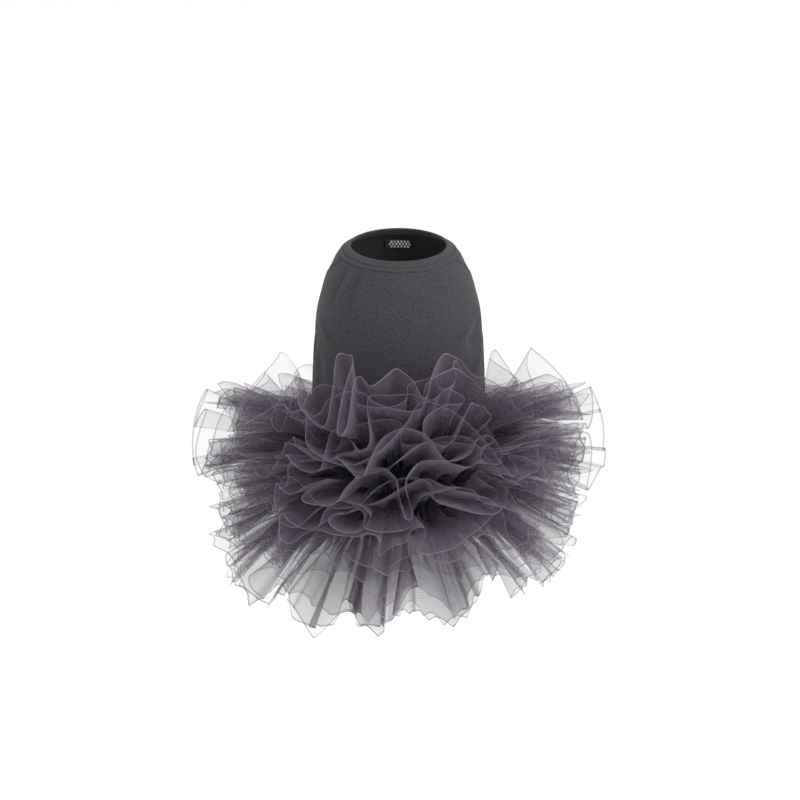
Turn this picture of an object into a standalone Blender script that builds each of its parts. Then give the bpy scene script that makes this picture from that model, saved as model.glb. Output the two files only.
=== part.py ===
"""A small pet's tutu dress: a sleeveless jersey body, filled out and hollow, with a tulle skirt.

The dress hangs neck up from whatever wears it. The origin is the middle of the neck opening,
+Z points up out of the neck, -Y is the back panel's side and +Y the chest panel's side.
Every piece of cloth is a thin wall. Lengths are in metres, from millimetres times MM.
"""
import math

import bpy
from mathutils import Vector

MM = 0.001

# Body: cotton jersey
BODY_WALL = 1.2 * MM
HEM_DROP = 246.0
SEAM_GAP = 0.3 * MM
PANEL_TUCK = 0.8
BACK_COLUMNS = 24
CHEST_COLUMNS = 20

# Neck binding, a folded strip that lies on a cone
NECK_RADIUS = 42.0 * MM
BAND_WALL = 2.0 * MM
BAND_DROP = 5.6
BAND_ROOT_RADIUS = 50.0 * MM
BAND_STEPS = 48

# Armholes: the back panel's edge follows the seam line, the chest panel's is cut deep
ARMHOLE_TOP = 24.0
ARMHOLE_BOTTOM = 66.0
ARMHOLE_DEPTH_DEG = 34.0
ARMHOLE_ROWS = 5

# Label inside the neck, on the chest panel
LABEL_WIDTH = 24.0 * MM
LABEL_TOP = 13.5
LABEL_BOTTOM = 22.5
LABEL_WALL = 1.0 * MM
LABEL_COLUMNS = 6
LABEL_ROWS = 3

# Skirt: tulle strips gathered on to the body, tier over tier
TIER_REACH = 103.0 * MM
TIER_WALL = 1.0 * MM
TIER_STAND_OFF = 1.3 * MM
TIER_COLUMNS = 72
TIER_ROWS = 3
FLUTES = 12
FLUTE_SWING = 10.0
FLUTE_DRIFT = 0.35
REACH_WOBBLE = 0.03

# Half width and half depth of the body at each drop below the neck opening
# (drop_mm, half_width_mm, half_depth_mm)
BODY_SECTIONS = (
    (0.0, 42.0, 42.0),
    (5.6, 50.0, 50.0),
    (12.0, 55.0, 53.0),
    (19.0, 58.2, 55.0),
    (27.0, 62.0, 57.0),
    (42.0, 66.2, 59.5),
    (60.0, 70.3, 61.5),
    (80.0, 72.4, 62.5),
    (97.0, 74.0, 63.0),
    (144.0, 75.0, 64.0),
    (200.0, 75.0, 64.0),
    (HEM_DROP, 74.0, 63.5),
)

# Shoulder and side seam: degrees from the widest line towards the chest panel
# (drop_mm, past_widest_deg)
SEAM_LINE = (
    (0.0, -21.0),
    (8.0, -17.0),
    (16.0, -8.0),
    (ARMHOLE_TOP, 3.0),
    (34.0, 5.0),
    (45.0, 4.0),
    (ARMHOLE_BOTTOM, 2.0),
    (88.0, -8.0),
    (112.0, -5.0),
    (HEM_DROP, 0.0),
)

# Tiers of the skirt: where each is sewn on, and how its strips rise at the back panel, at the
# sides and at the chest panel
# (name, drop_mm, rise_back_deg, rise_side_deg, rise_chest_deg)
TIERS = (
    ("tulle_tier_1", 165.0, 62.0, 8.0, -4.0),
    ("tulle_tier_2", 183.0, 38.0, 0.0, -15.0),
    ("tulle_tier_3", 201.0, 13.0, -9.0, -27.0),
    ("tulle_tier_4", 219.0, -12.0, -21.0, -39.0),
    ("tulle_tier_5", 237.0, -36.0, -38.0, -48.0),
)

JERSEY_COLOUR = (0.063, 0.059, 0.068, 1.0)
BINDING_COLOUR = (0.070, 0.066, 0.075, 1.0)
TULLE_COLOUR = (0.110, 0.100, 0.125, 1.0)
LABEL_COLOUR = (0.020, 0.020, 0.021, 1.0)


def lookup(table, column, at):
    """Read a column of a table at a place between its rows."""
    for low, high in zip(table, table[1:]):
        if at <= high[0]:
            share = (at - low[0]) / (high[0] - low[0])
            return low[column] + share * (high[column] - low[column])
    return table[-1][column]


def body_point(azimuth, drop):
    """A point on the outside of the body, at an azimuth in radians from +X."""
    half_width = lookup(BODY_SECTIONS, 1, drop) * MM
    half_depth = lookup(BODY_SECTIONS, 2, drop) * MM
    return Vector((half_width * math.cos(azimuth), half_depth * math.sin(azimuth), -drop * MM))


def body_normal(azimuth, drop):
    """The outward direction of the body's surface, by small steps around and down it."""
    step = 0.01
    around = body_point(azimuth + step, drop) - body_point(azimuth - step, drop)
    down = body_point(azimuth, drop + 1.0) - body_point(azimuth, drop)
    return down.cross(around).normalized()


def cloth_material(name, colour):
    """A rough fabric with one colour."""
    material = bpy.data.materials.new(name)
    material.use_nodes = True
    shader = material.node_tree.nodes["Principled BSDF"]
    shader.inputs["Base Color"].default_value = colour
    shader.inputs["Roughness"].default_value = 0.9
    shader.inputs["Metallic"].default_value = 0.0
    return material


def add_mesh(name, points, faces, material, collection):
    """One named object from points and faces, shaded smooth."""
    mesh = bpy.data.meshes.new(name)
    mesh.from_pydata(points, [], faces)
    mesh.materials.append(material)
    mesh.shade_smooth()
    piece = bpy.data.objects.new(name, mesh)
    collection.objects.link(piece)
    return piece


def grid_faces(rows, columns, closed):
    """Quads of a grid whose points run row by row; a closed grid joins its last column to its first."""
    faces = []
    spans = columns if closed else columns - 1
    for row in range(rows - 1):
        for column in range(spans):
            after = (column + 1) % columns
            here = row * columns
            below = here + columns
            faces.append((here + column, below + column, below + after, here + after))
    return faces


def thicken(piece, thickness, offset):
    """Give an open surface its wall."""
    wall = piece.modifiers.new("wall", "SOLIDIFY")
    wall.thickness = thickness
    wall.offset = offset
    wall.use_even_offset = True
    wall.use_rim = True
    return piece


def armhole_share(drop):
    """How far the armhole is open at this drop, from 0 outside it to 1 at its middle."""
    middle = (ARMHOLE_TOP + ARMHOLE_BOTTOM) / 2
    half = (ARMHOLE_BOTTOM - ARMHOLE_TOP) / 2
    off = (drop - middle) / half
    return math.sqrt(max(0.0, 1.0 - off * off))


def panel_edge(drop, side, armhole_depth):
    """Degrees from the widest line to a panel's edge, with half of the seam's gap."""
    half_gap = math.degrees(SEAM_GAP / 2 / (lookup(BODY_SECTIONS, 1, drop) * MM - BODY_WALL))
    return lookup(SEAM_LINE, 1, drop) + armhole_depth * armhole_share(drop) + side * half_gap


def panel_drops():
    """The drops of a panel's rows, closest round the armhole."""
    top = BAND_DROP + PANEL_TUCK
    middle = (ARMHOLE_TOP + ARMHOLE_BOTTOM) / 2
    half = (ARMHOLE_BOTTOM - ARMHOLE_TOP) / 2
    steps = ARMHOLE_ROWS + 1
    armhole = [middle - half * math.cos(math.pi * k / steps) for k in range(steps + 1)]
    return [top, 14.0, 19.0, *armhole, 80.0, 97.0, 120.0, 160.0, 205.0, HEM_DROP]


def make_panel(name, side, armhole_depth, columns, material, collection):
    """The back (side -1) or the chest panel (side 1), from one side seam round to the other."""
    points = []
    drops = panel_drops()
    for drop in drops:
        edge = math.radians(panel_edge(drop, side, armhole_depth))
        start, end = (-math.pi - edge, edge) if side < 0 else (edge, math.pi - edge)
        for column in range(columns):
            azimuth = start + (end - start) * column / (columns - 1)
            points.append(body_point(azimuth, drop))
    faces = grid_faces(len(drops), columns, closed=False)
    return thicken(add_mesh(name, points, faces, material, collection), BODY_WALL, -1.0)


def make_binding(material, collection):
    """The neck binding: the section of the folded strip, turned about the neck's axis."""
    run = Vector((BAND_ROOT_RADIUS - NECK_RADIUS, 0.0, -BAND_DROP * MM))
    along = run.normalized()
    out = Vector((-along.z, 0.0, along.x))
    top = Vector((NECK_RADIUS, 0.0, 0.0))
    fold = top - out * BAND_WALL / 2 - along * BAND_WALL * 0.3
    inner_top = top - out * BAND_WALL
    outline = [top, top + run, top + run - out * BAND_WALL, inner_top, fold]
    count = len(outline)
    mesh = bpy.data.meshes.new("neck_binding")
    mesh.from_pydata(outline, [(k, (k + 1) % count) for k in range(count)], [])
    mesh.materials.append(material)
    piece = bpy.data.objects.new("neck_binding", mesh)
    collection.objects.link(piece)
    turn = piece.modifiers.new("turn", "SCREW")
    turn.axis = "Z"
    turn.steps = BAND_STEPS
    turn.render_steps = BAND_STEPS
    turn.use_merge_vertices = True
    turn.merge_threshold = 0.00005
    return piece


def make_label(material, collection):
    """A blank label on the inside of the chest panel, made from that panel's points."""
    points = []
    middle = math.radians(90.0)
    half_width = lookup(BODY_SECTIONS, 1, LABEL_TOP) * MM
    half_angle = LABEL_WIDTH / 2 / half_width
    for row in range(LABEL_ROWS):
        drop = LABEL_TOP + (LABEL_BOTTOM - LABEL_TOP) * row / (LABEL_ROWS - 1)
        for column in range(LABEL_COLUMNS):
            azimuth = middle + half_angle * (2.0 * column / (LABEL_COLUMNS - 1) - 1.0)
            inward = body_normal(azimuth, drop) * (BODY_WALL + SEAM_GAP * 2)
            points.append(body_point(azimuth, drop) - inward)
    faces = grid_faces(LABEL_ROWS, LABEL_COLUMNS, closed=False)
    return thicken(add_mesh("neck_label", points, faces, material, collection), LABEL_WALL, -1.0)


def flute_wave(azimuth):
    """The flutes' swing at an azimuth, from -1 to 1, a little uneven in spacing and depth."""
    drifted = azimuth + FLUTE_DRIFT / FLUTES * 2.0 * math.sin(3.0 * azimuth + 1.1)
    depth = 0.85 + 0.15 * math.sin(2.0 * azimuth + 0.4)
    return depth * math.sin(FLUTES * drifted)


def tier_rise(azimuth, back, side, chest):
    """The strips' rise in degrees: its values at the back, the sides and the chest, joined smoothly."""
    toward_chest = math.sin(azimuth)
    tilt = (chest - back) / 2
    droop = (chest + back) / 2 - side
    return side + tilt * toward_chest + droop * toward_chest * toward_chest


def make_tier(name, drop, back, side, chest, material, collection):
    """One fluted tier of the skirt, from its gathered seam out to its cut edge."""
    points = []
    for row in range(TIER_ROWS):
        share = row / (TIER_ROWS - 1)
        for column in range(TIER_COLUMNS):
            azimuth = 2.0 * math.pi * column / TIER_COLUMNS
            swing = FLUTE_SWING * flute_wave(azimuth) * math.sqrt(share)
            rise = math.radians(tier_rise(azimuth, back, side, chest) + swing)
            reach = TIER_REACH * (1.0 + REACH_WOBBLE * math.sin(5.0 * azimuth + drop)) * share
            out = Vector((math.cos(azimuth), math.sin(azimuth), 0.0))
            root = body_point(azimuth, drop) + out * TIER_STAND_OFF
            points.append(root + out * reach * math.cos(rise) + Vector((0.0, 0.0, reach * math.sin(rise))))
    faces = grid_faces(TIER_ROWS, TIER_COLUMNS, closed=True)
    return thicken(add_mesh(name, points, faces, material, collection), TIER_WALL, 0.0)


def main():
    for old in list(bpy.data.objects):
        bpy.data.objects.remove(old)
    dress = bpy.data.collections.new("pet_tutu_dress")
    bpy.context.scene.collection.children.link(dress)

    jersey = cloth_material("jersey", JERSEY_COLOUR)
    binding = cloth_material("binding", BINDING_COLOUR)
    tulle = cloth_material("tulle", TULLE_COLOUR)
    label = cloth_material("label", LABEL_COLOUR)

    make_panel("back_panel", -1, 0.0, BACK_COLUMNS, jersey, dress)
    make_panel("chest_panel", 1, ARMHOLE_DEPTH_DEG, CHEST_COLUMNS, jersey, dress)
    make_binding(binding, dress)
    make_label(label, dress)
    for name, drop, back, side, chest in TIERS:
        make_tier(name, drop, back, side, chest, tulle, dress)


main()
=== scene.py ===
"""Looks of the pet tutu dress: jersey body, neck binding, label patch and tulle skirt.

Everything is in metres, in the frame's axes: the origin is the middle of the neck opening, +Z
points up out of the neck, -Y is the back panel's side. Drops are millimetres below the neck
opening, and azimuths are degrees or radians from +X round the body.
"""
import math
from collections import namedtuple

import bpy
import numpy as np
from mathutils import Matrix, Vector


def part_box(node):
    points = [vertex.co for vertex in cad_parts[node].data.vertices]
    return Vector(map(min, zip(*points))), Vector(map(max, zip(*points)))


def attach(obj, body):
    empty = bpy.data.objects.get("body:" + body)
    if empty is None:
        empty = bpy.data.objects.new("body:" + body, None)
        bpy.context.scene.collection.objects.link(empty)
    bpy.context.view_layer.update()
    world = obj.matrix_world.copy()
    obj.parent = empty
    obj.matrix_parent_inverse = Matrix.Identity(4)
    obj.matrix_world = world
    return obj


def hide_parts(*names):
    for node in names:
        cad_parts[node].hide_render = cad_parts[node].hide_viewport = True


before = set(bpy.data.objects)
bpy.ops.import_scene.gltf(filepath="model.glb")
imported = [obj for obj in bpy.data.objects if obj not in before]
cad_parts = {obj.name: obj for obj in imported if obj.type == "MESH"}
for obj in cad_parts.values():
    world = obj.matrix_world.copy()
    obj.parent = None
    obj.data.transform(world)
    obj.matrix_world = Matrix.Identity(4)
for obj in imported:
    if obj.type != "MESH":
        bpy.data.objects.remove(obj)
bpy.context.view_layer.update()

MM = 0.001
FULL_TURN = 2.0 * math.pi

# The body's sections, as its solids have them
# (drop_mm, half_width_mm, half_depth_mm)
BODY_SECTIONS = np.array((
    (0.0, 42.0, 42.0),
    (5.6, 50.0, 50.0),
    (12.0, 55.0, 53.0),
    (19.0, 58.2, 55.0),
    (27.0, 62.0, 57.0),
    (42.0, 66.2, 59.5),
    (60.0, 70.3, 61.5),
    (80.0, 72.4, 62.5),
    (97.0, 74.0, 63.0),
    (144.0, 75.0, 64.0),
    (200.0, 75.0, 64.0),
    (246.0, 74.0, 63.5),
))
# Shoulder and side seam, in degrees from the body's widest line towards the chest panel
# (drop_mm, towards_chest_deg)
SEAM_LINE = np.array((
    (0.0, -21.0),
    (8.0, -17.0),
    (16.0, -8.0),
    (24.0, 3.0),
    (34.0, 5.0),
    (45.0, 4.0),
    (66.0, 2.0),
    (88.0, -8.0),
    (112.0, -5.0),
    (246.0, 0.0),
))
ARMHOLE_TOP, ARMHOLE_BOTTOM = 24.0, 66.0
ARMHOLE_MIDDLE, ARMHOLE_HALF = (ARMHOLE_TOP + ARMHOLE_BOTTOM) / 2, (ARMHOLE_BOTTOM - ARMHOLE_TOP) / 2
# How far each armhole is cut into the chest panel
ARMHOLE_DEPTH_DEG = 34.0
HEM_DROP = -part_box("back_panel")[0].z / MM
PANEL_TOP = 6.4
BODY_RADIUS = 70.0

# Tiers of the skirt, as their solids have them: the seam's drop, and how far the tier rises from level
# at the back, at the sides and at the chest, in degrees
Tier = namedtuple("Tier", "node drop rise_back rise_side rise_chest")
TIERS = (
    Tier("tulle_tier_1", 165.0, 62.0, 8.0, -4.0),
    Tier("tulle_tier_2", 183.0, 38.0, 0.0, -15.0),
    Tier("tulle_tier_3", 201.0, 13.0, -9.0, -27.0),
    Tier("tulle_tier_4", 219.0, -12.0, -21.0, -39.0),
    Tier("tulle_tier_5", 237.0, -36.0, -38.0, -48.0),
)

# Where the foremost plies' cut edges run across the back of the skirt
# (degrees from the back's middle towards +X, rise_deg)
TOP_PETALS = (
    (-92, 2), (-88, 12), (-85, 32), (-80, 30), (-79, 8), (-76, 8), (-76, 36), (-72, 52), (-67, 50),
    (-67, 20), (-63, 14), (-61, 28), (-62, 58), (-57, 66), (-52, 62), (-51, 32), (-47, 24), (-41, 48),
    (-35, 40), (-24, 31), (-25, 52), (-31, 72), (-31, 77), (-26, 77), (-21, 70), (-20, 53), (-19, 28),
    (-16, 34), (-17, 58), (-15, 60), (-12, 56), (-10, 54), (-3, 64), (-1, 67), (2, 63), (6, 58), (9, 47),
    (13, 60), (20, 72), (27, 74), (36, 64), (44, 56), (46, 36), (50, 30), (53, 56), (58, 76), (63, 77),
    (63, 50), (62, 34), (66, 28), (70, 44), (73, 60), (78, 61), (78, 40), (75, 22), (78, 12), (82, 34),
    (87, 35), (88, 14), (92, 2),
)
UPPER_PETALS = (
    (-44, 22), (-36, 30), (-24, 24), (-16, 30), (-9, 34), (-12, 56), (-11, 60), (0, 61), (4, 62), (8, 60),
    (13, 57), (17, 61), (20, 63), (23, 61), (26, 56), (23, 53), (18, 54), (11, 50), (8, 45), (9, 38),
    (14, 33), (18, 36), (28, 54), (38, 52), (40, 51), (35, 45), (31, 41), (34, 36), (32, 32), (27, 30),
    (25, 24), (34, 20), (44, 24),
)
ARCH = (
    (-44, 14), (-38, 24), (-30, 18), (-24, 19), (-23, 30), (-22, 41), (-16, 37), (-13, 30), (-20, 28),
    (-16, 24), (-11, 17), (-9, 25), (-6, 36), (-2, 41), (2, 43), (7, 41), (10, 37), (13, 28), (16, 25),
    (22, 28), (27, 36), (33, 34), (36, 24), (44, 18),
)
RIBBON = (
    (-46, 10), (-40, 19), (-34, 14), (-27, 22), (-20, 26), (-25, 22), (-29, 16), (-29, 12), (-23, 12),
    (-18, 14), (-16, 21), (-11, 30), (-5, 33), (-2, 30), (0, 26), (0, 20), (1, 12), (2, 7), (4, 8),
    (4, 12), (3, 17), (2, 22), (2, 27), (4, 32), (7, 36), (13, 36), (23, 31), (28, 35), (36, 34),
    (42, 36), (46, 28), (40, 20), (46, 14),
)
ROLLS = (
    (-46, 6), (-38, 14), (-30, 8), (-24, 10), (-23, 17), (-21, 22), (-16, 24), (-12, 24), (-8, 19),
    (-9, 14), (-12, 10), (-17, 10), (-21, 14), (-19, 19), (-16, 18), (-13, 22), (-6, 26), (2, 34),
    (9, 38), (13, 35), (18, 31), (24, 28), (31, 24), (34, 21), (37, 24), (36, 30), (30, 34), (27, 38),
    (30, 41), (38, 36), (44, 22), (48, 12),
)
LOWER_PETALS = (
    (-46, -4), (-40, 4), (-34, -2), (-28, 6), (-24, 9), (-20, 8), (-15, 8), (-11, 8), (-9, 10), (-6, 9),
    (-5, 5), (-6, -2), (-4, 0), (-2, 4), (2, 5), (4, 12), (8, 13), (8, 8), (5, 3), (5, 0), (8, -2),
    (12, -1), (16, 0), (22, 6), (28, 11), (33, 15), (31, 20), (38, 16), (46, 2),
)

# Plies of tulle. Each is a strip sewn along one tier: the pattern of its flutes, a flute's mean width
# and height at the cut edge, how far it overhangs, how wide the strip is, how far the ply leans from
# the tier's rise and wanders, how ragged its cut edge is across the back, and where that edge was
# placed there
Ply = namedtuple("Ply", "tier pattern flute_deg height_deg overhang reach lean_deg wander_deg ragged front")
PLIES = (
    Ply(0, 0.4, 30.0, 8.0, 0.10, 102.0, 1.0, 8.0, 0.0, TOP_PETALS),
    Ply(0, 5.3, 26.0, 8.0, 0.09, 94.0, -2.0, 9.0, 0.0, None),
    Ply(0, 7.7, 34.0, 7.0, 0.08, 97.0, -9.0, 7.0, 0.0, None),
    Ply(1, 1.3, 32.0, 8.0, 0.10, 103.0, 3.0, 7.0, 0.0, UPPER_PETALS),
    Ply(1, 6.1, 27.0, 8.0, 0.11, 103.0, -2.0, 6.0, 0.0, ARCH),
    Ply(1, 8.8, 30.0, 7.0, 0.09, 92.0, 2.0, 6.0, 0.0, None),
    Ply(1, 3.4, 25.0, 7.0, 0.08, 96.0, -10.0, 7.0, 0.0, None),
    Ply(2, 2.7, 31.0, 8.0, 0.11, 104.0, 5.0, 7.0, 0.0, RIBBON),
    Ply(2, 9.1, 28.0, 7.0, 0.09, 93.0, 4.0, 6.0, 0.0, None),
    Ply(2, 0.9, 33.0, 7.0, 0.10, 96.0, -6.0, 7.0, 0.3, None),
    Ply(3, 3.6, 29.0, 8.0, 0.10, 102.0, 6.0, 6.0, 0.0, ROLLS),
    Ply(3, 8.2, 32.0, 7.0, 0.11, 102.0, 0.0, 6.0, 0.0, LOWER_PETALS),
    Ply(3, 5.8, 26.0, 7.0, 0.09, 94.0, 0.0, 6.0, 0.4, None),
    Ply(3, 1.7, 30.0, 7.0, 0.10, 98.0, -8.0, 7.0, 0.8, None),
    Ply(4, 4.9, 27.0, 8.0, 0.10, 106.0, 5.0, 6.0, 0.8, None),
    Ply(4, 9.4, 31.0, 7.0, 0.10, 111.0, -3.0, 7.0, 1.0, None),
    Ply(4, 2.2, 29.0, 6.0, 0.09, 110.0, -11.0, 7.0, 1.0, None),
)
# One finer and barely gathered ply that stands a little beyond the others
OUTER_PLY = Ply(1, 4.4, 40.0, 15.0, 0.06, 106.0, 3.0, 5.0, 0.0, None)
TOP_TIER, LOWEST_TIER = 0, 4


# ---------------------------------------------------------------- curves and meshes

def smooth_through(table, column, at):
    """A curve through a column of a table, smooth and without overshoot."""
    xs, ys = table[:, 0], table[:, column]
    steps = np.diff(xs)
    slopes = np.diff(ys) / steps
    turns = slopes[:-1] * slopes[1:]
    sums = slopes[:-1] + slopes[1:]
    lean = np.zeros_like(ys)
    lean[1:-1] = np.where(turns > 0, 2.0 * turns / np.where(sums == 0, 1.0, sums), 0.0)
    lean[0], lean[-1] = slopes[0], slopes[-1]
    at = np.clip(at, xs[0], xs[-1])
    k = np.clip(np.searchsorted(xs, at, side="right") - 1, 0, len(steps) - 1)
    t = (at - xs[k]) / steps[k]
    rise = (2 * t**3 - 3 * t**2 + 1) * ys[k] + (3 * t**2 - 2 * t**3) * ys[k + 1]
    return rise + steps[k] * ((t**3 - 2 * t**2 + t) * lean[k] + (t**3 - t**2) * lean[k + 1])


def unit(vectors):
    """Vectors brought to length 1."""
    return vectors / np.linalg.norm(vectors, axis=-1, keepdims=True)


def body_surface(azimuth, drop):
    """Points on the outside of the body, in metres."""
    half_width = smooth_through(BODY_SECTIONS, 1, drop) * MM
    half_depth = smooth_through(BODY_SECTIONS, 2, drop) * MM
    parts = (half_width * np.cos(azimuth), half_depth * np.sin(azimuth), -drop * MM)
    return np.stack(np.broadcast_arrays(*parts), axis=-1)


def body_normals(azimuth, drop):
    """Outward directions of the body's surface."""
    small_turn, small_drop = 0.01, 0.5
    around = body_surface(azimuth + small_turn, drop) - body_surface(azimuth - small_turn, drop)
    down = body_surface(azimuth, drop + small_drop) - body_surface(azimuth, drop - small_drop)
    return unit(np.cross(down, around))


def quad_mesh(name, points, quads):
    """A mesh from points and quads, shaded smooth."""
    quads = quads.reshape(-1, 4).astype(np.int32)
    mesh = bpy.data.meshes.new(name)
    mesh.vertices.add(points.size // 3)
    mesh.vertices.foreach_set("co", points.astype(np.float32).ravel())
    mesh.loops.add(quads.size)
    mesh.loops.foreach_set("vertex_index", quads.ravel())
    mesh.polygons.add(len(quads))
    mesh.polygons.foreach_set("loop_start", np.arange(0, quads.size, 4, dtype=np.int32))
    mesh.update(calc_edges=True)
    mesh.shade_smooth()
    return mesh


def grid_mesh(name, points, closed, layers):
    """A mesh of quads from a grid of points, with named point attributes. A closed grid joins its
    last column to its first."""
    rows, columns = points.shape[:2]
    spans = columns if closed else columns - 1
    row, column = np.meshgrid(np.arange(rows - 1), np.arange(spans), indexing="ij")
    after = (column + 1) % columns
    corners = (row * columns + column, (row + 1) * columns + column,
               (row + 1) * columns + after, row * columns + after)
    mesh = quad_mesh(name, points, np.stack(corners, axis=-1))
    for layer, values in layers.items():
        kind, field = ("FLOAT_VECTOR", "vector") if values.ndim == points.ndim else ("FLOAT", "value")
        attribute = mesh.attributes.new(layer, kind, "POINT")
        attribute.data.foreach_set(field, values.astype(np.float32).ravel())
    return mesh


def ring_quads(count, rings, sides):
    """The quads that join each of a count of things, made of rings of points, ring to ring."""
    thing, row, side = np.meshgrid(np.arange(count), np.arange(rings - 1), np.arange(sides), indexing="ij")
    first, after = (thing * rings + row) * sides, (side + 1) % sides
    return np.stack((first + side, first + after, first + sides + after, first + sides + side), axis=-1)


def stitch_mesh(name, starts, ends, outward, lift, radius):
    """Many stitches in one mesh: each a thread from a start to an end that bows out of the cloth."""
    rings, sides = 7, 6
    t = np.linspace(0.0, 1.0, rings)[None, :, None]
    bow = np.sin(math.pi * t) * lift
    paths = starts[:, None] * (1.0 - t) + ends[:, None] * t + outward[:, None] * bow
    along = unit(np.gradient(paths, axis=1))
    across = unit(np.cross(along, outward[:, None]))
    above = np.cross(across, along)
    turn = np.linspace(0.0, FULL_TURN, sides, endpoint=False)[:, None]
    swell = radius * np.sqrt(np.maximum(0.02, 1.0 - (2.0 * t[0] - 1.0) ** 6))[:, :, None]
    ring = across[:, :, None] * np.cos(turn) + above[:, :, None] * np.sin(turn)
    points = paths[:, :, None] + ring * swell
    return quad_mesh(name, points, ring_quads(len(starts), rings, sides))


def stitches_along(name, path, outward, material):
    """A row of stitches along a path, each 1.3 mm long with 0.7 mm between."""
    stitch, pitch, start = 1.3 * MM, 2.0 * MM, 0.3 * MM
    lift, radius = 0.25 * MM, 0.28 * MM
    run = np.concatenate(([0.0], np.cumsum(np.linalg.norm(np.diff(path, axis=0), axis=1))))
    begins = np.arange(start, run[-1] - stitch, pitch)

    def at(values, where):
        return np.stack([np.interp(where, run, values[:, axis]) for axis in range(3)], axis=-1)

    out = unit(at(outward, begins + stitch / 2))
    mesh = stitch_mesh(name, at(path, begins), at(path, begins + stitch), out, lift, radius)
    return add_piece(name, mesh, material)


def add_piece(name, mesh, material, node=None):
    """A piece that rides with the dress, and stands for a CAD node if one is given."""
    piece = bpy.data.objects.new(name, mesh)
    bpy.context.scene.collection.objects.link(piece)
    mesh.materials.append(material)
    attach(piece, "root")
    if node:
        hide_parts(node)
    return piece


def thicken(piece, wall_mm, offset):
    """A wall on a piece's surface, inwards where the offset is -1 and outwards where it is 1."""
    shell = piece.modifiers.new("wall", "SOLIDIFY")
    shell.thickness = wall_mm * MM
    shell.offset = offset
    return shell


# ---------------------------------------------------------------- materials

JERSEY_COLOUR = (0.0300, 0.0258, 0.0325, 1.0)
# The jersey's inside is painted far darker than its outside: painted shade inside the body
JERSEY_INSIDE_SHADE_COLOUR = (0.0075, 0.0070, 0.0078, 1.0)
BINDING_COLOUR = (0.0315, 0.0275, 0.0340, 1.0)
THREAD_COLOUR = (0.085, 0.078, 0.090, 1.0)
LABEL_COLOUR = (0.014, 0.014, 0.0145, 1.0)
SILVER_COLOUR = (0.86, 0.86, 0.88, 1.0)
WHITE = (1.0, 1.0, 1.0, 1.0)
FLOOR_COLOUR = (0.95, 0.95, 0.95, 1.0)
# Tulle down in the gathers, darker there as painted shade; further out; and at its cut edge, lighter there
# as a painted highlight
TULLE_GATHER_SHADE, TULLE_COLOUR = (0.115, 0.097, 0.124, 1.0), (0.124, 0.104, 0.135, 1.0)
FINE_TULLE_GATHER_SHADE, FINE_TULLE_COLOUR = (0.090, 0.075, 0.098, 1.0), (0.110, 0.092, 0.120, 1.0)
TULLE_EDGE_HIGHLIGHT = (0.200, 0.178, 0.216, 1.0)
TULLE_SHEEN = (0.85, 0.78, 0.90, 1.0)
# How much of the light each net stops, laid flat
TULLE_COVER, FINE_TULLE_COVER = 0.11, 0.045

# Textures' scales on the cloth, and the depths of their relief in metres
FLECK_SCALE, DYE_SCALE, WALE_SCALE, DIMPLE_SCALE = 480.0, 45.0, 420.0, 1500.0
KNIT_RELIEF, SILVER_RELIEF = 0.0004, 0.0002
KNIT_BUMP, SILVER_BUMP = 0.2, 0.3
FLECK_CONTRAST, DYE_CONTRAST, SHADE_OFFSET = 2.0, 0.40, -0.20

# The net: a wave of threads is two cells across, its two sets slant against each other, and it covers
# less in a cell's middle
NET_WAVE_MM, THREAD_SLANT = 4.0, 0.6
THREAD_COVER, CELL_OPENING = 1.3, 1.2
# How the net closes up seen aslant, and what it covers more where it is doubled and at its cut edge
ASLANT_POWER, ASLANT_COVER, DOUBLED_COVER, EDGE_COVER = 2.2, 0.62, 1.6, 0.42
# How quickly the gathers' painted shade gives way to the plain colour outwards, and from where
SHADE_FADE_SLOPE, SHADE_FADE_START = 1.8, -0.55


def new_material(name, roughness):
    """A material, its node tree and its shader."""
    material = bpy.data.materials.new(name)
    material.use_nodes = True
    shader = material.node_tree.nodes["Principled BSDF"]
    shader.inputs["Roughness"].default_value = roughness
    return material, material.node_tree, shader


def math_node(tree, operation, first, second=None, third=None, clamp=False):
    """One step of arithmetic on up to three values, each a number or another node's output."""
    node = tree.nodes.new("ShaderNodeMath")
    node.operation = operation
    node.use_clamp = clamp
    for socket, value in zip(node.inputs, (first, second, third)):
        if isinstance(value, (int, float)):
            socket.default_value = value
        elif value is not None:
            tree.links.new(value, socket)
    return node.outputs[0]


def attribute_node(tree, name, output="Fac"):
    """One of the mesh's own point attributes."""
    node = tree.nodes.new("ShaderNodeAttribute")
    node.attribute_name = name
    return node.outputs[output]


def noise_node(tree, scale, detail, vector=None):
    """Soft noise, over the cloth where its vector is given."""
    node = tree.nodes.new("ShaderNodeTexNoise")
    node.inputs["Scale"].default_value = scale
    node.inputs["Detail"].default_value = detail
    if vector is not None:
        tree.links.new(vector, node.inputs["Vector"])
    return node.outputs["Fac"]


def add_bump(tree, shader, height, strength, distance):
    """Fine relief on a shader."""
    bump = tree.nodes.new("ShaderNodeBump")
    bump.inputs["Strength"].default_value = strength
    bump.inputs["Distance"].default_value = distance
    tree.links.new(height, bump.inputs["Height"])
    tree.links.new(bump.outputs[0], shader.inputs["Normal"])


def mixed(tree, share, first, second, blend="MIX"):
    """Two colours mixed: the share and the colours are values or other nodes' outputs."""
    node = tree.nodes.new("ShaderNodeMix")
    node.data_type = "RGBA"
    node.blend_type = blend
    for socket, value in zip((node.inputs["Factor"], node.inputs["A"], node.inputs["B"]),
                             (share, first, second)):
        if isinstance(value, (float, tuple)):
            socket.default_value = value
        else:
            tree.links.new(value, socket)
    return node.outputs["Result"]


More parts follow.
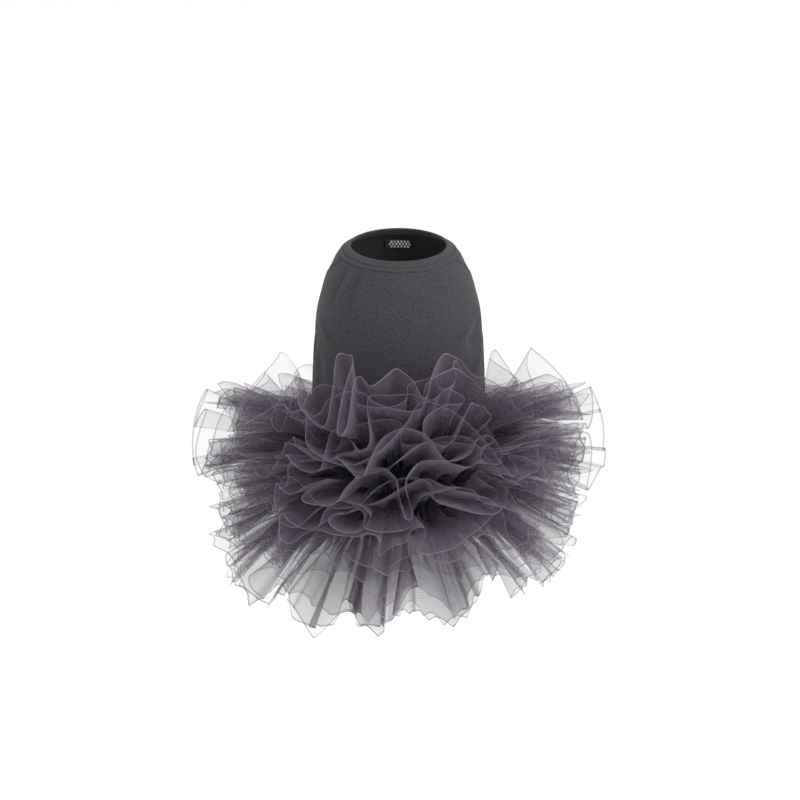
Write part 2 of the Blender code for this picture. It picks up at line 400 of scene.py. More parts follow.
def make_jersey(name, colour):
    """Matt cotton jersey: fine wales, a fleck in the yarn and a soft unevenness in the dye."""
    material, tree, shader = new_material(name, 0.88)
    shader.inputs["Sheen Weight"].default_value = 0.05
    shader.inputs["Sheen Roughness"].default_value = 0.5
    cloth = attribute_node(tree, "cloth", "Vector")
    fleck = noise_node(tree, FLECK_SCALE, 3.0, cloth)
    dye = noise_node(tree, DYE_SCALE, 4.0, cloth)
    shade = math_node(tree, "MULTIPLY_ADD", fleck, FLECK_CONTRAST, SHADE_OFFSET)
    shade = math_node(tree, "MULTIPLY_ADD", dye, DYE_CONTRAST, shade)
    grey = tree.nodes.new("ShaderNodeCombineColor")
    for socket in grey.inputs:
        tree.links.new(shade, socket)
    tree.links.new(mixed(tree, 1.0, colour, grey.outputs[0], "MULTIPLY"), shader.inputs["Base Color"])
    wale = tree.nodes.new("ShaderNodeTexWave")
    wale.inputs["Scale"].default_value = WALE_SCALE
    wale.inputs["Distortion"].default_value = 1.5
    wale.inputs["Detail"].default_value = 1.0
    tree.links.new(cloth, wale.inputs["Vector"])
    height = math_node(tree, "MULTIPLY_ADD", fleck, 0.6, wale.outputs["Fac"])
    add_bump(tree, shader, height, KNIT_BUMP, KNIT_RELIEF)
    return material


def make_silver(name):
    """Small cast studs: bright, a little dimpled."""
    material, tree, shader = new_material(name, 0.28)
    shader.inputs["Base Color"].default_value = SILVER_COLOUR
    shader.inputs["Metallic"].default_value = 1.0
    add_bump(tree, shader, noise_node(tree, DIMPLE_SCALE, 2.0), SILVER_BUMP, SILVER_RELIEF)
    return material


def net_threads(tree):
    """How much the net covers from place to place: two slanted sets of threads, about 1 on average."""
    net = tree.nodes.new("ShaderNodeSeparateXYZ")
    tree.links.new(attribute_node(tree, "net", "Vector"), net.inputs[0])
    threads = []
    for slant in (THREAD_SLANT, -THREAD_SLANT):
        across = math_node(tree, "MULTIPLY_ADD", net.outputs["Y"], slant, net.outputs["X"])
        wave = math_node(tree, "SINE", math_node(tree, "MULTIPLY", across, FULL_TURN / NET_WAVE_MM))
        threads.append(math_node(tree, "MULTIPLY", wave, wave))
    cell = math_node(tree, "MULTIPLY", threads[0], threads[1])
    return math_node(tree, "MULTIPLY_ADD", cell, -CELL_OPENING, THREAD_COVER)


def make_tulle(name, gather_shade_colour, colour, cover_flat):
    """Soft net: thin seen square on, closing up where it is crowded or seen aslant, with painted shade down
    in the gathers, and denser at its cut edge, where it also has a painted highlight."""
    material, tree, shader = new_material(name, 0.8)
    shader.inputs["Sheen Weight"].default_value = 0.15
    shader.inputs["Sheen Roughness"].default_value = 0.4
    shader.inputs["Sheen Tint"].default_value = TULLE_SHEEN
    shader.inputs["Specular IOR Level"].default_value = 0.2
    edge, doubled, depth = (attribute_node(tree, layer) for layer in ("edge", "doubled", "depth"))
    # Painted shade: darker down in the gathers near the seam, the plain colour further out
    outward = math_node(tree, "MULTIPLY_ADD", depth, SHADE_FADE_SLOPE, SHADE_FADE_START, clamp=True)
    shaded_tint = mixed(tree, outward, gather_shade_colour, colour)
    # Painted highlight: a lighter colour along the cut edge
    tree.links.new(mixed(tree, edge, shaded_tint, TULLE_EDGE_HIGHLIGHT), shader.inputs["Base Color"])
    aslant = tree.nodes.new("ShaderNodeLayerWeight")
    aslant.inputs["Blend"].default_value = 0.5
    closed_up = math_node(tree, "POWER", aslant.outputs["Facing"], ASLANT_POWER)
    cover = math_node(tree, "MULTIPLY_ADD", doubled, DOUBLED_COVER * cover_flat, cover_flat)
    cover = math_node(tree, "MULTIPLY", cover, attribute_node(tree, "crowding"))
    cover = math_node(tree, "MULTIPLY", cover, net_threads(tree))
    cover = math_node(tree, "MULTIPLY_ADD", closed_up, ASLANT_COVER, cover)
    cover = math_node(tree, "MULTIPLY_ADD", edge, EDGE_COVER, cover, clamp=True)
    tree.links.new(cover, shader.inputs["Alpha"])
    return material


# ---------------------------------------------------------------- jersey body

# Ridges and grooves along the panels' edges: the lap of the back panel's turned edge over the seam,
# the dip of both edges into it, and the lines that the stitches press in
# (height_mm, distance_mm from the edge, or in the last from the neck opening, width_mm)
SEAM_LAP = (0.8, 1.8, 1.3)
SEAM_GROOVE = (-0.6, 0.0, 0.8)
ARMHOLE_GROOVE = (-0.35, 6.0, 0.8)
HEM_GROOVE = (-0.4, 12.0, 0.8)
NECK_GROOVE = (-0.7, 7.0, 0.7)

# Soft folds of the body: from one end to the other, how wide and how high, troughs below zero
# (start_deg, start_drop, end_deg, end_drop, width_mm, height_mm)
BODY_FOLDS = (
    (-144.0, 10.0, -150.0, 44.0, 3.6, -1.1),
    (-135.5, 9.0, -137.0, 32.0, 2.6, 1.0),
    (-128.5, 10.0, -130.0, 46.0, 3.6, -1.4),
    (-121.5, 10.0, -122.5, 48.0, 2.6, 1.1),
    (-115.0, 11.0, -116.0, 34.0, 3.4, -0.5),
    (-52.0, 10.0, -47.0, 32.0, 3.2, 0.7),
    (-4.0, 52.0, -42.0, 68.0, 4.5, 1.8),
    (-6.0, 64.0, -34.0, 82.0, 7.0, -2.6),
    (-8.0, 76.0, -22.0, 104.0, 6.0, 1.2),
    (-60.0, 120.0, -72.0, 175.0, 9.0, -1.1),
    (-118.0, 112.0, -104.0, 170.0, 10.0, 1.0),
    (-160.0, 90.0, -150.0, 150.0, 9.0, -1.2),
    (-168.0, 60.0, -146.0, 76.0, 5.0, 1.0),
    (48.0, 78.0, 80.0, 92.0, 6.0, 1.2),
    (52.0, 88.0, 76.0, 104.0, 7.0, -1.4),
    (133.0, 76.0, 104.0, 90.0, 6.0, 1.0),
    (92.0, 120.0, 98.0, 168.0, 9.0, -1.1),
    (118.0, 96.0, 126.0, 160.0, 8.0, 0.9),
    (62.0, 118.0, 55.0, 165.0, 9.0, 1.0),
)
# The radius that turns the folds' azimuths into millimetres, how much higher than its row each stands,
# where its ends start to fade and how quickly, what is left of it at the dress's sides, and the
# azimuth's sine from which it is whole
FOLD_RADIUS, FOLD_GAIN = 68.0, 1.5
FOLD_FULL_SHARE, FOLD_FADE = 0.55, 6.0
SIDE_FOLD_SHARE, SIDE_SINE = 0.35, 0.35


def fold_height(azimuth, drop):
    """How far the body's folds lift it, in metres."""
    total = np.zeros(np.broadcast(azimuth, drop).shape)
    for start_deg, start_drop, end_deg, end_drop, width, height in BODY_FOLDS:
        start, end = math.radians(start_deg), math.radians(end_deg)
        run = np.array(((end - start) * FOLD_RADIUS, end_drop - start_drop))
        turn = (azimuth - start + math.pi) % FULL_TURN - math.pi
        along = turn * FOLD_RADIUS * run[0] + (drop - start_drop) * run[1]
        along = along / (run @ run)
        across = np.hypot(turn * FOLD_RADIUS - along * run[0], drop - start_drop - along * run[1])
        past = np.maximum(0.0, np.abs(along - 0.5) * 2.0 - FOLD_FULL_SHARE)
        total += FOLD_GAIN * height * MM * np.exp(-(across / width) ** 2) * np.exp(-past**2 * FOLD_FADE)
    from_side = np.minimum(1.0, np.abs(np.sin(azimuth)) / SIDE_SINE)
    return total * (SIDE_FOLD_SHARE + (1.0 - SIDE_FOLD_SHARE) * from_side)


def armhole_share(drop):
    """How much of its depth an armhole has at a drop: a half ellipse, 0 above and below."""
    return np.sqrt(np.maximum(0.0, 1.0 - ((drop - ARMHOLE_MIDDLE) / ARMHOLE_HALF) ** 2))


def panel_edge(drop, armhole_depth):
    """Where a panel's edge runs, in radians towards the chest from the widest line."""
    return np.radians(smooth_through(SEAM_LINE, 1, drop) + armhole_depth * armhole_share(drop))


def panel_drops(step):
    """Rows of a panel, closest where the armhole's edge turns."""
    armhole_rows = int(2.2 * ARMHOLE_HALF / step) + 1
    above = np.linspace(PANEL_TOP, ARMHOLE_TOP, int((ARMHOLE_TOP - PANEL_TOP) / step) + 1)[:-1]
    below = np.linspace(ARMHOLE_BOTTOM, HEM_DROP, int((HEM_DROP - ARMHOLE_BOTTOM) / step) + 1)[1:]
    turn = np.linspace(0.0, math.pi, armhole_rows)
    return np.concatenate((above, ARMHOLE_MIDDLE - ARMHOLE_HALF * np.cos(turn), below))


def ridge(distance, line):
    """The height in metres of a ridge, or of a groove, at distances from the edge that it follows."""
    height, place, width = line
    return height * MM * np.exp(-((distance - place) / width) ** 2)


def panel_relief(azimuth, drops, from_edge, laps_over):
    """How far a panel's folds, edges and stitch lines lift it, in metres."""
    lift = fold_height(azimuth, drops) + ridge(from_edge, SEAM_GROOVE)
    if laps_over:
        lift = lift + ridge(from_edge, SEAM_LAP)
    past_armhole = np.maximum(0.0, np.abs(drops - ARMHOLE_MIDDLE) - ARMHOLE_HALF + 1.0)
    lift = lift + ridge(from_edge, ARMHOLE_GROOVE) * np.exp(-(past_armhole / 3.0) ** 2)
    return lift + ridge(HEM_DROP - drops, HEM_GROOVE) + ridge(drops, NECK_GROOVE)


def make_panel(name, side, armhole_depth, material, inside, node):
    """The back or the chest panel as a thin shell, with its folds, turned edges and hem."""
    wall, step, gap = 1.0, 1.3, 0.3
    columns = int(math.pi * BODY_RADIUS / step)
    drops = panel_drops(step)[:, None]
    edge = panel_edge(drops, armhole_depth) + side * gap / 2 / smooth_through(BODY_SECTIONS, 1, drops)
    start, end = (-math.pi - edge, edge) if side < 0 else (edge, math.pi - edge)
    azimuth = start + (end - start) * np.linspace(0.0, 1.0, columns)[None, :]
    from_edge = np.minimum(azimuth - start, end - azimuth) * smooth_through(BODY_SECTIONS, 2, drops)
    lift = panel_relief(azimuth, drops, from_edge, laps_over=side < 0)
    points = body_surface(azimuth, drops) + body_normals(azimuth, drops) * lift[..., None]
    arc = np.broadcast_to(azimuth * BODY_RADIUS * MM, lift.shape)
    down = np.broadcast_to(drops * MM, lift.shape)
    cloth = np.stack((arc, down, np.zeros_like(arc)), axis=-1)
    piece = add_piece(name, grid_mesh(name, points, False, {"cloth": cloth}), material, node)
    shell = thicken(piece, wall, -1.0)
    # The shell's inner wall takes the inside material, whose much darker colour is painted shade
    piece.data.materials.append(inside)
    shell.material_offset = 1


# ---------------------------------------------------------------- neck binding and label

# The band's cone: its top edge's radius, how far it drops over how far it spreads, and the radius that
# gives the strip's length
NECK_RADIUS, BAND_DROP, BAND_SPREAD, STRIP_RADIUS = 42.0, 5.6, 8.0, 46.0
BAND_SLANT = math.atan2(BAND_DROP, BAND_SPREAD)
# The folded strip, from its inside raw edge, over the top, across the stitched groove to the lap's lip
# (along_mm from the top edge, out_mm from the band's own line)
BINDING_OUTLINE = np.array((
    (12.4, -2.5), (9.0, -2.3), (5.0, -2.1), (1.2, -1.95), (0.2, -1.5), (-0.1, -0.9),
    (0.15, -0.3), (0.8, 0.10), (2.0, 0.32), (4.0, 0.40), (6.0, 0.34), (7.2, 0.15),
    (7.6, -0.55), (7.9, -0.90), (8.2, -0.55), (8.6, 0.15),
    (9.3, 0.42), (10.1, 0.42), (10.9, 0.22), (11.5, -0.08), (11.8, -0.42), (11.75, -0.75),
))
GROOVE_ALONG, GROOVE_THREAD_OUT = 7.9, -0.70
# Where the turned edges are stitched: how far from the armhole's edge, the rows' heights above the
# hem, and how far below the body's plain surface each thread lies, in millimetres
ARMHOLE_TURNING, HEM_ROWS = 6.0, (11.0, 13.5)
ARMHOLE_THREAD, HEM_THREAD = -0.30, -0.15


def band_points(turn, along, out):
    """Points on the neck band's cone: along it from the top edge, and out from it, in millimetres."""
    radius = NECK_RADIUS + along * math.cos(BAND_SLANT) + out * math.sin(BAND_SLANT)
    height = -along * math.sin(BAND_SLANT) + out * math.cos(BAND_SLANT)
    parts = np.broadcast_arrays(radius * np.cos(turn), radius * np.sin(turn), height)
    return np.stack(parts, axis=-1) * MM


def make_binding(material, thread):
    """The folded strip round the neck: a rounded top edge, a flat band, the stitched groove, the lap."""
    columns, waver_at, waver_width = 320, 5.0, 3.0
    turn = np.linspace(0.0, FULL_TURN, columns, endpoint=False)
    along, out = BINDING_OUTLINE[:, :1], BINDING_OUTLINE[:, 1:]
    waver = 0.12 * np.sin(23.0 * turn) + 0.08 * np.sin(41.0 * turn + 1.0)
    out = out + waver * np.exp(-((along - waver_at) / waver_width) ** 2)
    points = band_points(turn, along, out)
    cloth = np.stack(np.broadcast_arrays(turn * STRIP_RADIUS * MM, along * MM, 0.0 * turn), axis=-1)
    mesh = grid_mesh("neck_binding_strip", points, True, {"cloth": cloth})
    piece = add_piece("neck_binding_strip", mesh, material, "neck_binding")
    turn = np.linspace(0.0, FULL_TURN, 400)
    path = band_points(turn, GROOVE_ALONG, GROOVE_THREAD_OUT)
    outward = band_points(turn, GROOVE_ALONG, 1.0) - path
    stitches_along("neck_binding_stitches", path, outward, thread)


def panel_path(azimuth, drop, height_mm):
    """A path on the body's surface, a little off it, and the way out of the cloth along it."""
    outward = body_normals(azimuth, drop)
    return body_surface(azimuth, drop) + outward * height_mm * MM, outward


def make_stitching(thread):
    """The rows that hold the armholes' and the hem's turned edges."""
    drop = np.linspace(ARMHOLE_TOP, ARMHOLE_BOTTOM, 80)
    turning = ARMHOLE_TURNING / smooth_through(BODY_SECTIONS, 2, drop)
    for side in ("right", "left"):
        for panel, depth, away in (("back", 0.0, -1.0), ("chest", ARMHOLE_DEPTH_DEG, 1.0)):
            azimuth = panel_edge(drop, depth) + away * turning
            azimuth = math.pi - azimuth if side == "left" else azimuth
            path, outward = panel_path(azimuth, drop, ARMHOLE_THREAD)
            stitches_along(f"{panel}_armhole_stitches_{side}", path, outward, thread)
    turn = np.linspace(0.0, FULL_TURN, 500)
    for row, from_hem in enumerate(HEM_ROWS):
        path, outward = panel_path(turn, HEM_DROP - from_hem + 0.0 * turn, HEM_THREAD)
        stitches_along(f"hem_stitches_{row + 1}", path, outward, thread)


# The label's patch, and how far it lies in from the body's outside at its back, in millimetres
LABEL_LONG, LABEL_HIGH, LABEL_TOP, LABEL_IN = 24.0, 9.0, 13.5, 1.9
# Its studs: rows below its middle and how many in each, their pitches and how far the oval is moved
# across, in millimetres
STUD_ROWS = ((-1, 6), (0, 7), (1, 6))
STUD_PITCH, STUD_ROW_PITCH, STUD_SHIFT = 3.0, 2.5, 1.0
STUD_HALF_WIDTH, STUD_HEIGHT, STUD_BASE = 1.35, 0.9, 0.5


def label_points(across_mm, drop, inward_mm):
    """Points on the inside of the chest panel: across it from its middle, and in from the patch's
    back."""
    azimuth = math.pi / 2 - across_mm / smooth_through(BODY_SECTIONS, 1, drop)
    inward = (LABEL_IN + np.asarray(inward_mm))[..., None] * MM
    return body_surface(azimuth, drop) - body_normals(azimuth, drop) * inward


def make_patch(material):
    """The label's woven patch, with rounded corners and a border pressed down."""
    u, v = np.meshgrid(np.linspace(-1.0, 1.0, 61), np.linspace(-1.0, 1.0, 25))
    corner = 1.0 - 0.06 * np.abs(u) ** 10 * np.abs(v) ** 4
    across = LABEL_LONG / 2 * u * corner
    drop = LABEL_TOP + LABEL_HIGH / 2 * (1.0 + v * corner)
    border = np.maximum(np.abs(u) ** 30, np.abs(v) ** 12)
    points = label_points(across, drop, 0.55 - 0.3 * border)
    cloth = np.stack((across * MM, drop * MM, 0.0 * across), axis=-1)
    mesh = grid_mesh("neck_label_patch", points, False, {"cloth": cloth})
    piece = add_piece("neck_label_patch", mesh, material, "neck_label")
    thicken(piece, 0.5, 1.0)
    return piece


def make_studs(silver):
    """An oval of small plain domes, each a little scalloped round its foot."""
    middle_drop = LABEL_TOP + LABEL_HIGH / 2
    centres = np.array([(STUD_PITCH * (place - (count - 1) / 2) + STUD_SHIFT,
                         middle_drop + STUD_ROW_PITCH * row)
                        for row, count in STUD_ROWS for place in range(count)])
    middle = label_points(centres[:, 0], centres[:, 1], STUD_BASE)
    inward = unit(label_points(centres[:, 0], centres[:, 1], STUD_BASE + 1.0) - middle)
    right = unit(np.cross(inward, (0.0, 0.0, 1.0)))
    up = np.cross(right, inward)
    rings, sides = 6, 12
    rise = np.linspace(0.0, math.pi / 2, rings)[:, None]
    turn = np.linspace(0.0, FULL_TURN, sides, endpoint=False)[None]
    flat = STUD_HALF_WIDTH * MM * np.cos(rise) * (1.0 + 0.06 * np.cos(6 * turn))
    parts = (flat * np.cos(turn), flat * np.sin(turn), STUD_HEIGHT * MM * np.sin(rise) + 0.0 * turn)
    axes = (right, up, inward)
    dome = sum(part[None, ..., None] * axis[:, None, None] for part, axis in zip(parts, axes))
    quads = ring_quads(len(centres), rings, sides)
    mesh = quad_mesh("neck_label_studs", middle[:, None, None] + dome, quads)
    return add_piece("neck_label_studs", mesh, silver)


def make_label(material, silver):
    """A small woven patch inside the neck, with an oval of plain silver studs."""
    piece = make_patch(material)
    studs = make_studs(silver)


# ---------------------------------------------------------------- tulle skirt

# Sines round the skirt that make a ply's flutes uneven in width, height and slant
# (times round, size, share of the ply's pattern in the phase)
PACE_WAVES = ((1, 0.25, 0.0), (3, 0.22, 1.0), (7, 0.18, 2.0))
HEIGHT_WAVES = ((4, 0.3, 1.7), (9, 0.3, 1.0))
SLANT_WAVES = ((3, 0.35, 2.0), (5, 0.25, 1.0))
# Those that make it wander up and down (times round, size)
WANDER_WAVES = ((3, 0.5), (5, 0.4), (8, 0.35))
# Points along a cut edge worked out by waves, points between two given ones, and the gap in
# which the two meet
EDGE_SAMPLES, HAND_STEPS, JOIN_DEG = 6000, 24, 3.0
# How far the fans swing the edge, how much higher the lowest tier's flutes stand across the back, and
# how far the top tier rises at the right and at the left
FAN_SWING_DEG, LOW_FLUTE_GAIN = 3.3, 0.9
RIGHT_LIFT_DEG, LEFT_LIFT_DEG = 20.0, 9.0
# Rows of a ply from its seam, as shares of its reach; three more lie at and near the cut edge
PLY_ROWS = (0.0, 0.03, 0.07, 0.12, 0.18, 0.25, 0.33, 0.42, 0.52, 0.63, 0.74, 0.85, 0.93)
# In millimetres: between a ply's columns, from the body out to its seam, along the edge that one place
# of the seam serves, the width of the lighter cut edge, and the sag at the edge
PLY_SPACING, SEAM_OUT, SEAM_BLUR, EDGE_BAND, SAG = 2.2, 0.8, 48.0, 1.5, 5.0
# Columns over which the cut edge is smoothed
EDGE_BLUR = 1.6
# Folds that run out of the gathers: their pitch along the strip, their height, where along the reach
# they are highest, how far they last and from where they are full, and how their run wanders
# (pitch_mm, height_mm, at_share, width_share, full_share, wander_turns, pattern_share)
GATHERS = (
    (15.0, 5.0, 0.12, 0.13, 0.05, 13, 1.0),
    (36.0, 4.5, 0.30, 0.20, 0.12, 7, 2.0),
)
# A strip longer than this, in millimetres, gathers deeper
LONG_STRIP = 1700.0
# The notches of a cut edge, as shares of the reach: their depth across the back, and how much deeper
# they are at the sides
LEAST_NOTCH, MOST_NOTCH = 0.02, 0.36
# How much shorter the lowest tier is on the right, and how far that place is turned to the back
SHORT_SIDE, SHORT_SIDE_TURN = 0.20, math.radians(40.0)


def waves(turn, pattern, rows):
    """Sines round the skirt, summed from a table's rows."""
    return sum(size * np.sin(times * turn + share * pattern) for times, size, share in rows)


def tier_rise(azimuth, tier):
    """A tier's rise in radians, joined smoothly from the back to the sides and the chest."""
    toward_chest = np.sin(azimuth)
    tilt = (tier.rise_chest - tier.rise_back) / 2
    droop = (tier.rise_chest + tier.rise_back) / 2 - tier.rise_side
    return np.radians(tier.rise_side + tilt * toward_chest + droop * toward_chest**2)


def fan_phase(turn):
    """The plies bunch into fans, thirteen round the skirt, at the same places in every tier."""
    return 13 * turn + 0.9 * np.sin(3 * turn) + 0.7 * np.sin(2 * turn + 1.0)


def flute_height(ply, turn):
    """How high a ply's flutes stand round the skirt, in degrees."""
    height = ply.height_deg * (1.0 + waves(turn, ply.pattern, HEIGHT_WAVES))
    if ply.tier == LOWEST_TIER:
        height = height * (1.0 + LOW_FLUTE_GAIN * np.maximum(0.0, -np.sin(turn)))
    return height


def crease_height(ply, turn):
    """Sharp creases between the flutes, as a share of their height."""
    creases = 15 * turn + 1.2 * np.sin(5 * turn + ply.pattern) + 3 * ply.pattern
    return 0.7 * (np.abs(np.sin(creases)) + 0.6 * np.abs(np.sin(1.7 * creases)) - 1.0)


def wave_edge(ply, start_deg, end_deg):
    """Where a ply's cut edge runs between two azimuths, in uneven flutes: azimuths and rises in
    degrees."""
    at = np.linspace(start_deg, end_deg, EDGE_SAMPLES, endpoint=False)
    turn = np.radians(at)
    phase = np.cumsum(1.0 + waves(turn, ply.pattern, PACE_WAVES))
    phase = phase / phase[-1] * round((end_deg - start_deg) / ply.flute_deg) * FULL_TURN
    wobble = np.sin(5 * turn + ply.pattern)
    loose = np.maximum(np.cos(turn) ** 2, ply.ragged)
    height = flute_height(ply, turn)
    up = height * np.sin(phase + 0.4 * wobble) + height * crease_height(ply, turn) * loose
    swing = ply.overhang * ply.flute_deg * np.sin(2.0 * phase + 0.8 * wobble)
    azimuth = at + FAN_SWING_DEG * loose * np.sin(fan_phase(turn)) - swing
    azimuth = azimuth + waves(turn, ply.pattern, SLANT_WAVES) * up
    swept = np.radians(azimuth)
    lean = ply.lean_deg * (0.65 - 0.35 * np.sin(swept))
    rise = np.degrees(tier_rise(swept, TIERS[ply.tier])) + up + lean
    if ply.tier == TOP_TIER:
        rise = rise + RIGHT_LIFT_DEG * np.maximum(0.0, np.cos(swept + 0.4)) ** 3
        rise = rise + LEFT_LIFT_DEG * np.maximum(0.0, -np.cos(swept)) ** 3
    for times, size in WANDER_WAVES:
        rise = rise + ply.wander_deg * size * np.sin(times * swept + 2.6 * ply.pattern + times)
    return azimuth, rise


def curve_through(points, steps):
    """A smooth curve through given points."""
    points = np.array(points, dtype=float)
    before, after = points[:-3, None], points[3:, None]
    first, second = points[1:-2, None], points[2:-1, None]
    t = np.linspace(0.0, 1.0, steps, endpoint=False)[None, :, None]
    curve = 2 * first + (second - before) * t + (2 * before - 5 * first + 4 * second - after) * t**2
    curve = (curve + (3 * first - before - 3 * second + after) * t**3) / 2
    return curve.reshape(-1, 2)


def smoothed(values, width):
    """Values that go round, averaged over a bell as many samples wide."""
    turns = np.fft.rfftfreq(len(values))
    bell = np.exp(-2.0 * (math.pi * turns * width) ** 2)
    return np.fft.irfft(np.fft.rfft(values) * bell, len(values))


def seam_points(azimuth, drop):
    """Points on the body at one drop, in millimetres."""
    return body_surface(azimuth, drop + 0.0 * azimuth) / MM


def tip_points(azimuth, rise, drop, reach):
    """Points on a strip's cut edge, in millimetres, from its azimuths, rises and reach."""
    level = np.cos(rise)
    out = np.stack((np.cos(azimuth) * level, np.sin(azimuth) * level, np.sin(rise)), axis=-1)
    return seam_points(azimuth, drop) + np.asarray(reach)[..., None] * out


def cut_edge(ply):
    """A ply's whole cut edge: azimuths and rises in radians, evenly spaced along it, and its length."""
    if ply.front:
        hand = curve_through(ply.front, HAND_STEPS)
        hand[:, 0] -= 90.0
        azimuth, rise = wave_edge(ply, hand[-1, 0] + JOIN_DEG, hand[0, 0] + 360.0 - JOIN_DEG)
        azimuth = np.concatenate((hand[:, 0], azimuth))
        rise = np.concatenate((hand[:, 1], rise))
    else:
        azimuth, rise = wave_edge(ply, 0.0, 360.0)
    azimuth, rise = np.radians(azimuth), np.radians(rise)
    tip = tip_points(azimuth, rise, TIERS[ply.tier].drop, ply.reach + 0.0 * azimuth)
    run = np.linalg.norm(np.roll(tip, -1, axis=0) - tip, axis=-1)
    along = np.concatenate(([0.0], np.cumsum(run)))
    columns = int(along[-1] / PLY_SPACING)
    even = np.linspace(0.0, along[-1], columns, endpoint=False)
    azimuth = np.interp(even, along, np.append(azimuth, azimuth[0] + FULL_TURN))
    rise = np.interp(even, along, np.append(rise, rise[0]))
    lap = np.linspace(0.0, FULL_TURN, columns, endpoint=False)
    azimuth = lap + smoothed(azimuth - lap, EDGE_BLUR)
    return azimuth, smoothed(rise, EDGE_BLUR), along[-1]


def ply_reach(ply, azimuth, beside, even):
    """How far a strip reaches round the skirt, in millimetres: less in its notches, and less on the
    right in the lower tiers."""
    notches = 0.2 * np.abs(np.sin(9 * azimuth + 3 * ply.pattern))
    notches = notches + 0.2 * np.abs(np.sin(20 * azimuth + 5 * ply.pattern))
    notches = notches + 0.3 + 0.3 * np.cos(fan_phase(azimuth))
    notch_share = 0.0 if even else LEAST_NOTCH + MOST_NOTCH * np.maximum(beside, ply.ragged)
    lowness = max(0, ply.tier - 1) / 3.0
    shorter = SHORT_SIDE * lowness * np.maximum(0.0, np.cos(azimuth + SHORT_SIDE_TURN)) ** 4
    return ply.reach * (1.0 - notch_share * notches) * (1.0 - shorter)


def gather_height(ply, share, lap, strip):
    """How high the folds that run out of the gathers stand, in millimetres."""
    total = 0.0
    for pitch, height, place, width, full, times, pattern_share in GATHERS:
        wander = 1.5 * np.sin(times * lap + pattern_share * ply.pattern)
        size = height * max(1.0, strip / LONG_STRIP) * np.exp(-((share - place) / width) ** 2)
        fold = np.sin(round(strip / pitch) * lap + wander)
        total = total + fold * size * np.minimum(1.0, share / full)
    return total


def crowding(points, spacing):
    """How many times closer the net's threads stand than in the flat strip."""
    window, closest, least, most = 6, 0.02, 0.5, 6.0
    steps = np.linalg.norm(np.roll(points, -1, axis=1) - points, axis=-1)
    padded = np.concatenate((steps[:, -window:], steps, steps[:, :window]), axis=1)
    sums = np.cumsum(padded, axis=1)
    local = (sums[:, 2 * window:] - sums[:, :-2 * window]) / (2 * window)
    return np.clip(spacing / np.maximum(local, closest), least, most)


def ply_points(ply, azimuth, rise, length, strip, share, lap):
    """A ply's points in millimetres: straight runs from seam to edge, with gathers and sag."""
    tier = TIERS[ply.tier]
    seam_azimuth = lap + smoothed(azimuth - lap, SEAM_BLUR / PLY_SPACING)
    across, along = np.cos(seam_azimuth), np.sin(seam_azimuth)
    root = seam_points(seam_azimuth, tier.drop)
    root = root + SEAM_OUT * np.stack((across, along, 0.0 * seam_azimuth), axis=-1)
    tip = tip_points(azimuth, rise, tier.drop, length)
    points = root[None] + share[..., None] * (tip - root)[None]
    seam_rise = tier_rise(seam_azimuth, tier)
    tilt = np.sin(seam_rise)
    lift = np.stack((-across * tilt, -along * tilt, np.cos(seam_rise)), axis=-1)
    points = points + gather_height(ply, share, lap, strip)[..., None] * lift[None]
    points[..., 2] -= SAG * share**2 * np.cos(rise)
    return points


def make_ply(name, ply, material, even=False):
    """One ply of tulle: a strip gathered on the body, whose cut edge wanders in flutes."""
    azimuth, rise, strip = cut_edge(ply)
    lap = np.linspace(0.0, FULL_TURN, len(azimuth), endpoint=False)
    beside = np.clip(1.25 - 1.5 * np.maximum(0.0, -np.sin(azimuth)) ** 3, 0.0, 1.0)
    length = ply_reach(ply, azimuth, beside, even)
    near_edge = (1.0 - 2.0 / ply.reach, 1.0 - 1.0 / ply.reach, 1.0)
    share = np.array(PLY_ROWS + near_edge)[:, None]
    points = ply_points(ply, azimuth, rise, length, strip, share, lap)
    shape = points.shape[:2]
    net = np.broadcast_arrays(lap / FULL_TURN * strip, share * ply.reach, np.zeros(shape))
    at_edge = np.where(share > 1.0 - EDGE_BAND / ply.reach, 1.0, 0.0)
    layers = {
        "net": np.stack(net, axis=-1),
        # The cut edge's band: its net is denser there and its colour has a painted highlight
        "edge": np.broadcast_to(at_edge, shape),
        "crowding": crowding(points, PLY_SPACING),
        # How far out from the seam: the painted shade of the gathers fades along it
        "depth": np.broadcast_to(share, shape),
        "doubled": np.broadcast_to(1.0 - beside, shape),
    }
    mesh = grid_mesh(name, points * MM, True, layers)
    piece = add_piece(name, mesh, material, TIERS[ply.tier].node)


def make_skirt(material, fine_material):
    """All the plies, the finer one first."""
    make_ply(f"{TIERS[OUTER_PLY.tier].node}_outer_ply", OUTER_PLY, fine_material, even=True)
    for number, ply in enumerate(PLIES):
        make_ply(f"{TIERS[ply.tier].node}_ply_{number + 1}", ply, material)


# ---------------------------------------------------------------- stage, light and camera

CAMERA_RISE_DEG = 20.7
CAMERA_DISTANCE = 11.604
CAMERA_LENS_MM = 600.0
SENSOR_WIDTH_MM = 36.0
AIM = Vector((0.0012, 0.0, -0.1442))
FLOOR_DROP, FLOOR_HALF_WIDTH = 0.75, 6.0
# (name, place in metres, width in metres, power in watts)
LIGHTS = (
    ("key", (1.3, -1.0, 1.1), 0.8, 24.0),
    ("fill", (-0.6, -1.6, 0.6), 1.0, 4.0),
)
# Rays have to pass all the plies of the skirt, front and back
NET_BOUNCES = 48


def place_in_scene(name, data, place, backward):
    """An object at a place that looks the opposite way to a direction."""
    holder = bpy.data.objects.new(name, data)
    bpy.context.scene.collection.objects.link(holder)
    holder.location = place
    holder.rotation_euler = (-backward).to_track_quat("-Z", "Y").to_euler()
    return holder


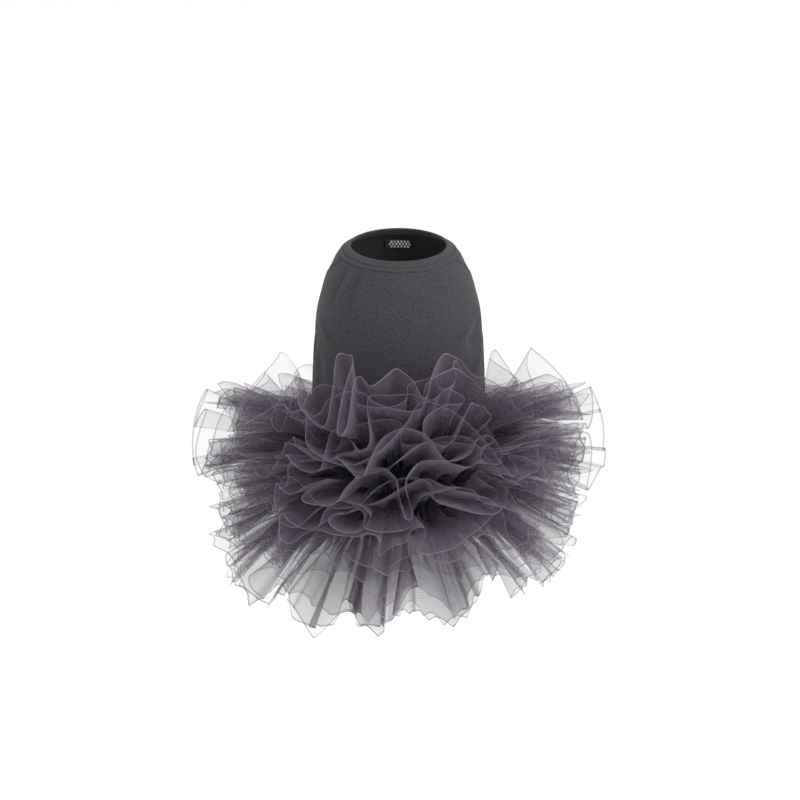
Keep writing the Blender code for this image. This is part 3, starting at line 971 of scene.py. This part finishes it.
def make_camera():
    """The camera, far off behind a long lens, looking down on the back."""
    rise = math.radians(CAMERA_RISE_DEG)
    back = Vector((0.0, -math.cos(rise), math.sin(rise)))
    camera = bpy.data.cameras.new("camera")
    camera.lens = CAMERA_LENS_MM
    camera.sensor_width = SENSOR_WIDTH_MM
    bpy.context.scene.camera = place_in_scene("camera", camera, AIM + back * CAMERA_DISTANCE, back)


def make_lights():
    """A white world, a soft key light and a weak fill."""
    world = bpy.data.worlds.new("world")
    world.use_nodes = True
    background = world.node_tree.nodes["Background"]
    background.inputs["Color"].default_value = WHITE
    background.inputs["Strength"].default_value = 1.0
    bpy.context.scene.world = world
    for name, place, size, power in LIGHTS:
        light = bpy.data.lights.new(name, "AREA")
        light.energy = power
        light.size = size
        place_in_scene(name, light, place, Vector(place) - AIM)


def make_floor():
    """A white floor well below the dress, which hangs clear of it."""
    mesh = bpy.data.meshes.new("floor")
    corners = [(x * FLOOR_HALF_WIDTH, y * FLOOR_HALF_WIDTH, -FLOOR_DROP)
               for x, y in ((-1, -1), (1, -1), (1, 1), (-1, 1))]
    mesh.from_pydata(corners, [], [(0, 1, 2, 3)])
    floor = bpy.data.objects.new("floor", mesh)
    bpy.context.scene.collection.objects.link(floor)
    material, tree, shader = new_material("floor", 1.0)
    shader.inputs["Base Color"].default_value = FLOOR_COLOUR
    mesh.materials.append(material)


make_camera()
jersey = make_jersey("jersey_knit", JERSEY_COLOUR)
# The jersey's inside, painted dark as painted shade
inside = make_jersey("jersey_inside_painted_shade", JERSEY_INSIDE_SHADE_COLOUR)
binding = make_jersey("binding_knit", BINDING_COLOUR)
thread = make_jersey("sewing_thread", THREAD_COLOUR)
label = make_jersey("label_weave", LABEL_COLOUR)
tulle = make_tulle("tulle_net", TULLE_GATHER_SHADE, TULLE_COLOUR, TULLE_COVER)
fine_tulle = make_tulle("tulle_fine_net", FINE_TULLE_GATHER_SHADE, FINE_TULLE_COLOUR, FINE_TULLE_COVER)
make_panel("back_panel_jersey", -1, 0.0, jersey, inside, "back_panel")
make_panel("chest_panel_jersey", 1, ARMHOLE_DEPTH_DEG, jersey, inside, "chest_panel")
make_binding(binding, thread)
make_stitching(thread)
make_label(label, make_silver("silver_studs"))
make_skirt(tulle, fine_tulle)
make_floor()
make_lights()

scene = bpy.context.scene
scene.view_settings.view_transform = "Standard"
scene.cycles.transparent_max_bounces = NET_BOUNCES
